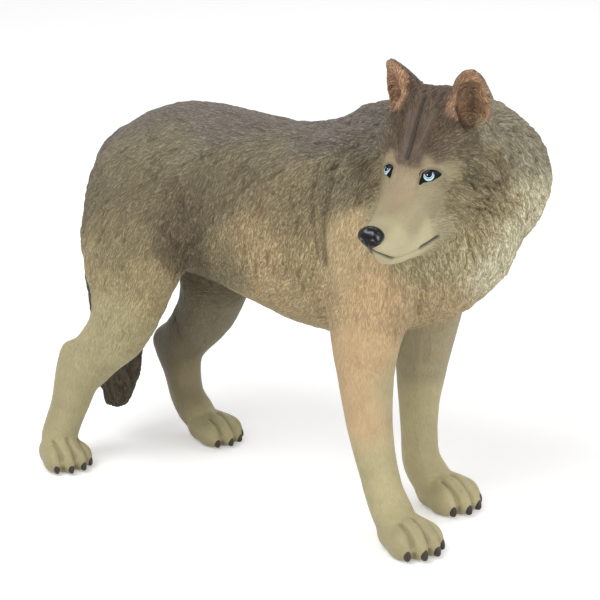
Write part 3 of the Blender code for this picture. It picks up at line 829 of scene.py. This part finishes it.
@dataclass
class Coat:
    """The whole moulded skin: smoothed from the solid, carved, furred and painted, then parted in pieces.

    Args:
        voxel: Size of the skin's even faces, in millimetres.
        facet_smoothing: Rounds of smoothing that take the solid's facets away.
        lump: Height of the broad unevenness, in millimetres, and lump_size its extent.
        clump: Height of the locks' unevenness for each millimetre of their depth, and clump_size its extent.
        wander: How far the strokes stray from their comb, in millimetres, and wander_size over what extent.
        sole: Height at which the fur starts above the soles, in millimetres, and sole_fade its run.
        hind_end: Where the hindquarters end, ahead of the body's middle, in millimetres.
        trunk_end: Where the trunk ends.
        chest_top: Height that parts the chest and forelegs from the mane and head.
    """

    voxel: float = 0.5
    facet_smoothing: int = 6
    lump: float = 0.3
    lump_size: float = 7.0
    clump: float = 1.3
    clump_size: float = 3.2
    wander: float = 1.2
    wander_size: float = 5.0
    sole: float = 0.4
    sole_fade: float = 2.5
    hind_end: float = -24.0
    trunk_end: float = 33.0
    chest_top: float = 101.0
    finish: CoatFinish = CoatFinish("sprayed_vinyl_coat", Tone.OLIVE.value, 0.58, 0.35)
    tree: BVHTree | None = field(default=None, init=False)
    pieces: list[Object] = field(default_factory=list, init=False)

    def skin(self) -> Mesh:
        """An even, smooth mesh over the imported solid."""
        form = bmesh.new()
        form.from_mesh(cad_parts[BODY_NODE].data)
        bmesh.ops.remove_doubles(form, verts=form.verts, dist=1e-6)
        mesh = bpy.data.meshes.new("skin")
        form.to_mesh(mesh)
        form.free()
        piece = linked("skin", mesh)
        soften = piece.modifiers.new("soften", "SUBSURF")
        soften.levels = soften.render_levels = 2
        even = piece.modifiers.new("even", "REMESH")
        even.mode = "VOXEL"
        even.voxel_size = self.voxel * 1.0 * MM
        even.use_smooth_shade = True
        smooth = piece.modifiers.new("smooth", "SMOOTH")
        smooth.factor = 0.5
        smooth.iterations = self.facet_smoothing
        applied(piece)
        mesh = piece.data
        bpy.data.objects.remove(piece)
        return mesh

    def guided(self, points: np.ndarray) -> dict[str, np.ndarray]:
        """The lie, depth and tone of the coat at each point, blended from the guides."""
        total = np.full(len(points), 1e-12)
        comb = np.zeros((len(points), 3))
        tone = np.zeros((len(points), 3))
        stroke = np.zeros(len(points))
        lock = np.zeros(len(points))
        for guide in GUIDES:
            away = np.linalg.norm(points - guide.at, axis=1) / guide.reach
            weight = np.exp(-NEAR_FALL * away ** 2) + FAR_SHARE * np.exp(-FAR_FALL * away)
            total += weight
            comb += weight[:, None] * guide.comb
            tone += weight[:, None] * np.array(guide.tone.value)
            stroke += weight * guide.stroke
            lock += weight * guide.lock
        return {"comb": comb / total[:, None], "tone": tone / total[:, None],
                "stroke": stroke / total, "lock": lock / total}

    def build(self, material: Material, lids: Iterable[Crease]) -> None:
        """Make, carve, fur and paint the skin.

        Args:
            material: The coat's material.
            lids: The carving about the eyes.
        """
        mesh = self.skin()
        points = read(mesh.vertices, "co", 3) / MM
        faces = [tuple(face.vertices) for face in mesh.polygons]
        self.tree = BVHTree.FromPolygons([tuple(point) for point in points], faces)
        normals = read(mesh.vertex_normals, "vector", 3)
        coat = self.guided(points)
        comb = coat["comb"] - normals * np.sum(coat["comb"] * normals, axis=1)[:, None]
        comb /= np.linalg.norm(comb, axis=1)[:, None] + 1e-9
        paint, carved, bare = self.creased(points, coat["tone"], lids)
        paint, ear = self.ears(points, normals, paint)
        furred = bare * fade(points[:, 2], self.sole, self.sole_fade)
        stroke = coat["stroke"] * furred
        lock = coat["lock"] * furred * (1.0 - 0.8 * ear)
        height, groove_shade = self.furred(points, comb, stroke, lock)
        points = points + normals * (height + carved)[:, None]
        points[:, 2] = np.maximum(points[:, 2], 0.0)
        mesh.vertices.foreach_set("co", (points * MM).ravel())
        mesh.update()
        self.store(mesh, "comb", comb, 3)
        self.store(mesh, "fur", fade(stroke, 0.0, FULL_STROKE), 1)
        self.store(mesh, "groove_shade", np.clip(groove_shade, 0, 1), 1)
        self.store(mesh, "paint", np.clip(paint, 0, 1), 4)
        mesh.materials.clear()
        mesh.materials.append(material)
        self.part(mesh, points)

    def creased(self, points: np.ndarray, paint: np.ndarray,
                lids: Iterable[Crease]) -> tuple[np.ndarray, np.ndarray, np.ndarray]:
        """Carve the creases.

        Args:
            points: The skin's points, in millimetres.
            paint: Their colours so far.
            lids: The carving about the eyes.

        Returns:
            The colours, the carving's height, and how much of the fur is left at each point.
        """
        carved = np.zeros(len(points))
        bare = np.ones(len(points))
        for crease in (*CREASES, *toe_creases(), *lids):
            for path in crease.paths():
                away = distance_to_path(points, self.draped(path))
                carved -= crease.depth * np.exp(-(away / crease.width) ** 2)
                # A crease's colour is the figure's paint on the lips and about the eyes, and painted shade in
                # the body's folds, the ruff's fold and between the toes.
                if crease.tone is not None:
                    share = crease.strength * np.exp(-(away / crease.paint_and_shade_width) ** 2)
                    paint = tinted(paint, share, crease.tone)
                    if crease.place is Place.HEAD and crease.width < 1.0:
                        bare *= 1.0 - 0.9 * np.exp(-(away / (2.0 * crease.width)) ** 2)
        return paint, carved, bare

    def furred(self, points: np.ndarray, comb: np.ndarray, stroke: np.ndarray,
               lock: np.ndarray) -> tuple[np.ndarray, np.ndarray]:
        """The fur's relief.

        Args:
            points: The skin's points, in millimetres.
            comb: The fur's direction at each point.
            stroke: Depth of the short strokes.
            lock: Depth of the locks.

        Returns:
            Its height in millimetres, and the strength of the painted shade in its grooves.
        """
        stray = np.stack([lattice_noise(points / self.wander_size, seed) for seed in (21, 22, 23)], axis=1)
        strayed = points + self.wander * stray
        short = tufted(combed_noise(strayed, comb, SHORT), 0.5)
        gap = fade(combed_noise(strayed, comb, GAP), 1.0, 0.8)
        locks = tufted(combed_noise(strayed, comb, LOCK), 0.6)
        lumps = self.lump * lattice_noise(points / self.lump_size, 3)
        clumps = self.clump * lattice_noise(points / self.clump_size, 5)
        height = (stroke * (SHORT.height(short) + GAP.height(gap)) + lock * (LOCK.height(locks) + clumps)
                  + np.minimum(stroke * 3.0, 1.0) * lumps)
        # Painted shade in the grooves of the strokes, the gaps between them and the valleys between locks.
        groove_shade = (fade(stroke, 0.0, FULL_STROKE) * np.maximum((1 - short) * SHORT.groove_shade, gap * GAP.groove_shade)
                + fade(lock, 0.0, FULL_LOCK) * (1 - locks) * LOCK.groove_shade)
        return height, groove_shade

    def draped(self, path: np.ndarray) -> np.ndarray:
        """A path moved onto the skin, with points between its own."""
        fine = [path[0]]
        for start, end in zip(path[:-1], path[1:]):
            steps = max(2, int(np.linalg.norm(end - start) / 1.5))
            fine.extend(start + (end - start) * k / steps for k in range(1, steps + 1))
        return np.array([self.tree.find_nearest(Vector(p))[0] for p in fine])

    @staticmethod
    def ears(points: np.ndarray, normals: np.ndarray, paint: np.ndarray) -> tuple[np.ndarray, np.ndarray]:
        """Rust-brown insides of the ears, darkest in the fold, with painted shade making the left ear's fold
        darker than the right's.

        Args:
            points: The skin's points, in millimetres.
            normals: Their normals.
            paint: Their colours so far.

        Returns:
            The colours, and how much each point belongs to an ear.
        """
        ahead, left, up = ((points - to_row(np.zeros(3), Place.HEAD)) @ HEAD_AXES.T).T
        facing = (normals @ HEAD_AXES.T)[:, 0]
        side = np.abs(left)
        narrow = 0.6 * np.clip(15.0 - up, 0, 6)
        ear = (fade(up, 9.0, 2.5) * fade(side, 7.0 + narrow, 2.5)
               * fade(ahead, -32.0, 3.0) * fade(ahead, -12.0 - narrow, -2.0))
        inner = ear * fade(facing, -0.15, 0.35)
        fold = inner * np.exp(-((side - 12.5) / 3.8) ** 2) * fade(up, 30.0, -7.0)
        # The left ear's fold is painted much darker than the right's; that difference is painted shade on the
        # left ear.
        fold *= np.where(left > 0, 0.7, 0.1)
        return tinted(tinted(paint, inner, Tone.RUST), fold, Tone.EAR_BROWN), ear

    @staticmethod
    def store(mesh: Mesh, name: str, values: np.ndarray, width: int) -> None:
        """Keep a value, a direction or a colour on each point."""
        kind, key = {1: ("FLOAT", "value"), 3: ("FLOAT_VECTOR", "vector"), 4: ("FLOAT_COLOR", "color")}[width]
        layer = mesh.attributes.new(name, kind, "POINT")
        if width == 4:
            values = np.column_stack([values, np.ones(len(values))])
        layer.data.foreach_set(key, values.astype(np.float32).ravel())

    def part(self, mesh: Mesh, points: np.ndarray) -> None:
        """Part the skin in pieces that keep the whole skin's shading at their edges."""
        self.store(mesh, "whole_normal", read(mesh.vertex_normals, "vector", 3), 3)
        ahead, _, up = (points - BODY_MIDDLE).T
        front = np.where(up < self.chest_top, 2, 3)
        region = np.where(ahead < self.hind_end, 0, np.where(ahead < self.trunk_end, 1, front))
        corners = read(mesh.loops, "vertex_index", kind=np.int64)
        owner = region[corners[read(mesh.polygons, "loop_start", kind=np.int64)]]
        names = ("coat_hindquarters", "coat_trunk", "coat_forelegs_chest", "coat_head_mane")
        for number, name in enumerate(names):
            form = bmesh.new()
            form.from_mesh(mesh)
            form.faces.ensure_lookup_table()
            spare = [face for face in form.faces if owner[face.index] != number]
            bmesh.ops.delete(form, geom=spare, context="FACES")
            part = bpy.data.meshes.new(name)
            form.to_mesh(part)
            form.free()
            part.materials.append(mesh.materials[0])
            part.shade_smooth()
            kept = part.attributes["whole_normal"]
            part.normals_split_custom_set_from_vertices(read(kept.data, "vector", 3, np.float32).tolist())
            part.attributes.remove(part.attributes["whole_normal"])
            piece = linked(name, part)
            self.pieces.append(piece)
            log.info("%s: %d faces", name, len(part.polygons))

    def surface(self, start: np.ndarray, way: np.ndarray) -> np.ndarray:
        """Where a ray meets the skin, in the row frame's millimetres, or its start if it misses."""
        hit = self.tree.ray_cast(Vector(start), Vector(way))[0]
        return np.array(hit) if hit is not None else start


@dataclass
class Eyes:
    """Two domed almond eyes laid on the skin.

    Args:
        centre: Middle of the left iris, in head millimetres.
        facing: Which way the left eye looks.
        across: From the tear towards the outer corner.
        outline: The almond about the iris, in millimetres across and up.
        bulge: How far the dome stands out, in millimetres.
        lean: How far both eyes sit towards the left, in millimetres.
        far_share: How wide the right eye is beside the left one.
        far_shift: How much further to the left the right eye sits, in millimetres.
        stand: How far the almond's edge stands proud of the skin, and sunk how far its rim goes in.
        clear: A distance that is surely outside the skin, in millimetres.
    """

    centre: Triple = (2.1, 7.5, 1.1)
    facing: Triple = (0.71, 0.65, 0.28)
    across: Triple = (-0.70, 0.70, -0.03)
    outline: tuple[tuple[float, float], ...] = (
        (4.6, -0.7), (2.7, 1.3), (0.2, 2.0), (-2.1, 1.6), (-2.9, 0.0), (-3.8, -2.9), (-2.0, -2.0),
        (-0.4, -1.9), (2.2, -1.6))
    bulge: float = 0.55
    lean: float = 0.45
    far_share: float = 0.55
    far_shift: float = 1.1
    stand: float = 0.16
    sunk: float = 0.5
    clear: float = 8.0
    finish: EyeFinish = EyeFinish("lacquered_eye", (0.004, 0.004, 0.005), 0.2, 0.12, 0.0)

    def axes(self, side: float) -> tuple[np.ndarray, np.ndarray, np.ndarray, np.ndarray]:
        """One eye's middle, and its ways out, across and up, all in head millimetres."""
        flip = np.array([1.0, side, 1.0])
        out = np.array(self.facing) * flip / np.linalg.norm(self.facing)
        across = np.array(self.across) * flip
        across -= out * (across @ out)
        across /= np.linalg.norm(across)
        shift = self.lean if side > 0 else self.lean + self.far_shift
        return np.array(self.centre) * flip + (0.0, shift, 0.0), out, across, np.cross(out, across) * side

    def lids(self) -> list[Crease]:
        """Raised lids about each almond, and the fold over it."""
        found = []
        for side in (1.0, -1.0):
            middle, _, across, up = self.axes(side)
            spots = np.array(self.outline) * (1.0 if side > 0 else self.far_share, 1.0)
            for share, run, width, depth, tone in (
                (1.2, spots[:6], 0.5, -0.4, Tone.UMBER),
                (1.2, np.vstack([spots[5:], spots[:1]]), 0.45, -0.25, Tone.CHEEK),
                (1.75, spots[:5], 0.8, 0.35, Tone.DUN),
            ):
                path = tuple(tuple(middle + share * (across * x + up * y)) for x, y in run)
                found.append(Crease(path, width, depth, tone, 0.5, 0.5, paired=False))
        return found

    def edge(self, angle: np.ndarray) -> np.ndarray:
        """Distance from the iris to the almond's edge at each angle."""
        spots = np.array(self.outline)
        around = np.arctan2(spots[:, 1], spots[:, 0])
        order = np.argsort(around)
        return np.interp(angle, around[order], np.linalg.norm(spots, axis=1)[order], period=2.0 * math.pi)

    def build(self, coat: Coat) -> list[Object]:
        """Make both eyes on the coat."""
        material = self.finish.build()
        return [self.eye(coat, 1.0, "eye_left", material), self.eye(coat, -1.0, "eye_right", material)]

    def eye(self, coat: Coat, side: float, name: str, material: Material) -> Object:
        """One eye, domed from half a ball and laid on the skin.

        Args:
            coat: The skin that carries it.
            side: 1 for the left eye and -1 for the right.
            name: The piece's name.
            material: Its material.

        Returns:
            The piece.
        """
        middle, *ways = self.axes(side)
        middle = to_row(middle, Place.HEAD)
        out, across, up = (turned(way, Place.HEAD) for way in ways)
        form = bmesh.new()
        bmesh.ops.create_uvsphere(form, u_segments=56, v_segments=28, radius=1.0)
        bmesh.ops.bisect_plane(form, geom=form.verts[:] + form.edges[:] + form.faces[:],
                               plane_co=(0, 0, -0.05), plane_no=(0, 0, 1), clear_inner=True)
        uv = form.loops.layers.uv.new(EYE_MAP)
        flat = {}
        for vert in form.verts:
            share = min(1.0, math.hypot(vert.co.x, vert.co.y))
            angle = math.atan2(vert.co.y, vert.co.x)
            far = share * float(self.edge(np.array([angle]))[0])
            x, y = far * math.cos(angle), far * math.sin(angle)
            flat[vert] = (0.5 + x / EYE_MAP_WIDTH, 0.5 + y / EYE_MAP_WIDTH)
            spot = middle + across * x * (1.0 if side > 0 else self.far_share) + up * y
            skin = coat.surface(spot + out * self.clear, -out)
            stand = self.bulge * (1.0 - share ** 2) + self.stand if vert.co.z > -0.02 else -self.sunk
            vert.co = Vector((skin + out * stand) * MM)
        for face in form.faces:
            for loop in face.loops:
                loop[uv].uv = flat[loop.vert]
        return from_bmesh(name, form, material)


@dataclass
class Nose:
    """The black nose pad on the muzzle's tip, with comma nostrils and a middle groove.

    Args:
        centre: Its middle, in head millimetres.
        size: Its half sizes, in millimetres.
        nostril: Depth, place out, width, drop and height of a nostril's two dents, as shares of the size.
        finish: Its paint, whose pale patches are painted highlight streaks.
    """

    centre: Triple = (29.3, 0.1, -7.6)
    size: Triple = (3.4, 4.6, 3.9)
    nostril: tuple[tuple[float, ...], ...] = ((0.2, 0.44, 0.17, 0.08, 0.2), (0.1, 0.72, 0.2, 0.3, 0.1))
    # The pale patch colour paints highlight streaks on the black pad.
    finish: HornFinish = HornFinish(
        "glossy_nose", (0.004, 0.0035, 0.0035), 0.16, 0.22, patch_and_highlight=(0.16, 0.16, 0.165))

    def build(self) -> Object:
        """Make the pad from a ball."""
        form = bmesh.new()
        bmesh.ops.create_uvsphere(form, u_segments=96, v_segments=64, radius=1.0,
                                  matrix=Matrix.Rotation(math.pi / 2, 4, "Y"))
        for vert in form.verts:
            x, y, z = vert.co
            broad = 1.0 - 0.3 * max(0.0, -z) ** 1.5
            high = 1.0 if z < 0 else 0.88
            dent = 0.1 * math.exp(-((y / 0.07) ** 2)) * (z < 0.05)
            for wing in (-1.0, 1.0):
                for depth, out, width, drop, height in self.nostril:
                    away = ((y - out * wing) / width) ** 2 + ((z + drop) / height) ** 2
                    dent += depth * math.exp(-away)
            dent *= x > 0
            spot = np.array([x * (1 - dent), y * broad * (1 - 0.5 * dent), z * high]) * self.size
            vert.co = Vector(to_row(spot + self.centre, Place.HEAD) * MM)
        return from_bmesh("nose_pad", form, self.finish.build())


@dataclass
class Claws:
    """Blunt dark claws lying on the toes.

    Args:
        size: A claw's half sizes, in millimetres.
        height: How high it sits above the ground, in millimetres.
        sunk: How far its middle lies inside the toe, in millimetres.
        clear: A distance that is surely outside the toe, in millimetres.
        hook: How much the tip bends down, and taper how much it narrows, as shares of the size.
        finish: Their paint.
    """

    size: Triple = (1.7, 1.4, 2.3)
    height: float = 2.9
    sunk: float = 1.1
    clear: float = 14.0
    hook: float = 0.28
    taper: float = 0.18
    finish: HornFinish = HornFinish("dark_claw", (0.03, 0.022, 0.017), 0.34, 0.4, 0.1)

    def build(self, coat: Coat) -> list[Object]:
        """Make the claws of every paw."""
        material = self.finish.build()
        return [self.of_paw(paw, coat, material) for paw in PAWS]

    def of_paw(self, paw: Paw, coat: Coat, material: Material) -> Object:
        """One paw's claws, each set into the toe it lies on.

        Args:
            paw: The paw.
            coat: The skin that carries it.
            material: The claws' material.

        Returns:
            The claws, joined in one piece.
        """
        form = bmesh.new()
        for forward, out, splay in TOES:
            turn = math.radians(paw.heading + splay)
            way = np.array([math.cos(turn), math.sin(turn), 0.0])
            base = to_row(paw.spot(forward, out, self.height), Place.BODY)
            tip = coat.surface(base + way * self.clear, -way)
            place = (Matrix.Translation(Vector((tip - way * self.sunk) * MM)) @ Matrix.Rotation(turn, 4, "Z")
                     @ Matrix.Diagonal((*[width * MM * paw.size for width in self.size], 1.0)))
            claw = bmesh.ops.create_uvsphere(form, u_segments=20, v_segments=14, radius=1.0)["verts"]
            for vert in claw:
                vert.co.z -= self.hook * max(0.0, vert.co.x) ** 2
                vert.co.y *= 1.0 - self.taper * max(0.0, vert.co.x)
            bmesh.ops.transform(form, matrix=place, verts=claw)
        for vert in form.verts:
            vert.co.z = max(vert.co.z, 0.0)
        return from_bmesh("claws_" + paw.name, form, material)


@dataclass
class Studio:
    """A pale floor, soft lamps, a white surround and the photograph's camera.

    Args:
        azimuth: The camera's bearing, in degrees.
        elevation: Its height above the horizon, in degrees.
        distance: From the target, in metres.
        target: What it looks at, in metres.
        lens: Focal length for a 36 mm sensor.
    """

    azimuth: float = 34.0
    elevation: float = 18.0
    distance: float = 0.9
    target: Triple = (0.00292, 0.0097, 0.071)
    lens: float = 151.3
    key_watts: float = 7.5
    fill_watts: float = 4.6
    rim_watts: float = 2.0
    surround: float = 0.5
    floor_glow: float = 0.3
    floor_finish: Finish = Finish("pale_floor", (0.86, 0.86, 0.86), 0.9, 0.1)

    def back(self, azimuth: float, elevation: float) -> Vector:
        """The direction from the target towards a bearing."""
        a, e = math.radians(azimuth), math.radians(elevation)
        return Vector((math.sin(a) * math.cos(e), -math.cos(a) * math.cos(e), math.sin(e)))

    def build(self) -> None:
        """Make the floor, the lamps, the world and the camera."""
        self.floor()
        for name, bearing, height, watts, width in (
            ("key", self.azimuth - 42.0, 52.0, self.key_watts, 0.7),
            ("fill", self.azimuth + 45.0, 22.0, self.fill_watts, 0.9),
            ("rim", self.azimuth + 160.0, 50.0, self.rim_watts, 0.7),
        ):
            self.lamp(name, self.back(bearing, height), watts, width)
        self.world()
        data = bpy.data.cameras.new("photo_camera")
        data.lens, data.sensor_width = self.lens, 36.0
        data.clip_start, data.clip_end = 0.05, 20.0
        camera = linked("photo_camera", data)
        back = self.back(self.azimuth, self.elevation)
        camera.location = Vector(self.target) + back * self.distance
        camera.rotation_euler = back.to_track_quat("Z", "Y").to_euler()
        bpy.context.scene.camera = camera

    def lamp(self, name: str, way: Vector, watts: float, width: float) -> None:
        """A square soft lamp that faces the figure."""
        data = bpy.data.lights.new(name, "AREA")
        data.energy, data.size = watts, width
        lamp = linked(name, data)
        lamp.location = Vector(self.target) + way * 1.1
        lamp.rotation_euler = way.to_track_quat("Z", "Y").to_euler()

    @staticmethod
    def seen(nodes: Nodes) -> Socket:
        """1 where the camera, a reflection or a see-through ray looks."""
        rays = nodes.add("LightPath")
        both = nodes.math("MAXIMUM", rays.outputs["Is Glossy Ray"], rays.outputs["Is Transmission Ray"])
        return nodes.math("MAXIMUM", rays.outputs["Is Camera Ray"], both)

    def world(self) -> None:
        """A plain white surround that lights the figure softly."""
        world = bpy.data.worlds.new("surround")
        world.use_nodes = True
        bpy.context.scene.world = world
        nodes = Nodes(world.node_tree)
        strength = nodes.ramp(self.seen(nodes), 0.0, 1.0, self.surround, 1.0)
        background = world.node_tree.nodes["Background"]
        background.inputs["Color"].default_value = (1.0, 1.0, 1.0, 1.0)
        nodes.put(background.inputs["Strength"], strength)

    def floor(self) -> None:
        """A wide pale floor that stays white about the figure's shadow."""
        form = bmesh.new()
        bmesh.ops.create_grid(form, x_segments=1, y_segments=1, size=3.0)
        bmesh.ops.translate(form, vec=(0.0, 0.0, -0.0002), verts=form.verts)
        material, nodes, shader = self.floor_finish.start()
        shader.inputs["Emission Color"].default_value = (1.0, 1.0, 1.0, 1.0)
        nodes.put(shader.inputs["Emission Strength"], nodes.times(self.seen(nodes), self.floor_glow))
        from_bmesh("floor", form, material)


def main() -> None:
    """Build every piece of the figure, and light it."""
    logging.basicConfig(level=logging.INFO, format="%(name)s: %(message)s")
    strokes, mottle = moulded_strokes(), airbrush_mottle()
    coat = Coat()
    eyes = Eyes()
    coat.build(coat.finish.build(strokes, mottle), eyes.lids())
    pieces = [*coat.pieces, *eyes.build(coat), Nose().build(), *Claws().build(coat)]
    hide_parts(BODY_NODE)
    for piece in pieces:
        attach(piece, "root")
        log.info("%s placed, %d points", piece.name, len(piece.data.vertices))
    Studio().build()
    bpy.context.scene.view_settings.view_transform = "Standard"


if __name__ == "__main__":
    main()
